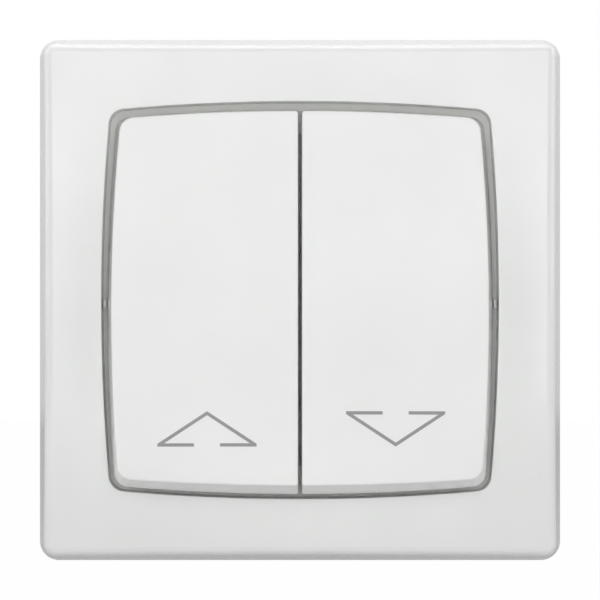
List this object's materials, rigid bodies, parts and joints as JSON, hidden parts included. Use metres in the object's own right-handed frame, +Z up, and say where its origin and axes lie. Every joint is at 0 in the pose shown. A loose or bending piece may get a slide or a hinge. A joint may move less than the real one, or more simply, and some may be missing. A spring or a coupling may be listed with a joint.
{
  "type": "roller shutter switch",
  "caption": "Flush wall switch for a roller shutter: square frame round side-by-side latching rockers with an up arrow and a down arrow, on a yoke with spreading claws.",
  "frame": {"origin": "centre of the switch on the wall plane, at the back face of the yoke and the rear rim of the frame", "axes": "+Z up, +X to the right seen from the front, the front faces -Y and the wall box lies towards +Y"},
  "size_m": [0.082, 0.0398, 0.082],
  "materials": {
    "frame_plastic": "satin white thermoplastic",
    "rocker_plastic": "satin white thermoplastic",
    "grey_plastic": "matt light grey thermoplastic",
    "base_plastic": "matt off-white thermoset",
    "toggle_plastic": "matt off-white thermoplastic",
    "zinc_steel": "zinc-plated sheet steel",
    "brass": "bright stamped brass",
    "silver_contact": "bright silver alloy",
    "spring_steel": "bright spring steel"
  },
  "bodies": {
    "switch_base": {"cover_plate": "frame_plastic", "groove_ring": "grey_plastic", "mounting_yoke": "zinc_steel", "rocker_carrier": "base_plastic", "housing_base": "base_plastic", "body_screws": "zinc_steel", "claw_screws": "zinc_steel", "claw_pins": "zinc_steel", "feed_rail": "brass", "link_strip": "brass", "up_contact_strip": "brass", "down_contact_strip": "brass", "fixed_rivets": "silver_contact", "terminal_springs": "spring_steel"},
    "left_rocker_body": {"left_rocker": "rocker_plastic", "left_toggle": "toggle_plastic", "left_plunger_spring": "spring_steel"},
    "left_plunger_body": {"left_plunger": "base_plastic"},
    "left_arm_body": {"left_contact_arm": "brass", "left_arm_rivets": "silver_contact"},
    "left_claw_body": {"left_claw": "zinc_steel"},
    "right_rocker_body": {"right_rocker": "rocker_plastic", "right_toggle": "toggle_plastic", "right_plunger_spring": "spring_steel"},
    "right_plunger_body": {"right_plunger": "base_plastic"},
    "right_arm_body": {"right_contact_arm": "brass", "right_arm_rivets": "silver_contact"},
    "right_claw_body": {"right_claw": "zinc_steel"}
  },
  "joints": [
    {"name": "left_rocker_tilt", "type": "hinge", "parent": "switch_base", "child": "left_rocker_body", "pos_m": [0, -0.0104, 0], "axis": [1, 0, 0], "range_deg": [0, 12]},
    {"name": "left_arm_rock", "type": "hinge", "parent": "switch_base", "child": "left_arm_body", "pos_m": [0, 0.00505, 0], "axis": [1, 0, 0], "range_deg": [-10, 0]},
    {"name": "left_plunger_slide", "type": "slide", "parent": "left_rocker_body", "child": "left_plunger_body", "axis": [0, -0.9945, 0.1045], "range_m": [0, 0.0006], "stiffness_N_per_m": 400},
    {"name": "left_claw_spread", "type": "hinge", "parent": "switch_base", "child": "left_claw_body", "pos_m": [-0.026, 0.004, 0], "axis": [0, 0, 1], "range_deg": [0, 25]},
    {"name": "right_rocker_tilt", "type": "hinge", "parent": "switch_base", "child": "right_rocker_body", "pos_m": [0, -0.0104, 0], "axis": [1, 0, 0], "range_deg": [0, 12]},
    {"name": "right_arm_rock", "type": "hinge", "parent": "switch_base", "child": "right_arm_body", "pos_m": [0, 0.00505, 0], "axis": [1, 0, 0], "range_deg": [-10, 0]},
    {"name": "right_plunger_slide", "type": "slide", "parent": "right_rocker_body", "child": "right_plunger_body", "axis": [0, -0.9945, 0.1045], "range_m": [0, 0.0006], "stiffness_N_per_m": 400},
    {"name": "right_claw_spread", "type": "hinge", "parent": "switch_base", "child": "right_claw_body", "pos_m": [0.026, 0.004, 0], "axis": [0, 0, -1], "range_deg": [0, 25]}
  ],
  "couplings": [
    {"joint": "left_arm_rock", "follows": "left_rocker_tilt", "ratio": -0.83333},
    {"joint": "right_arm_rock", "follows": "right_rocker_tilt", "ratio": -0.83333}
  ]
}
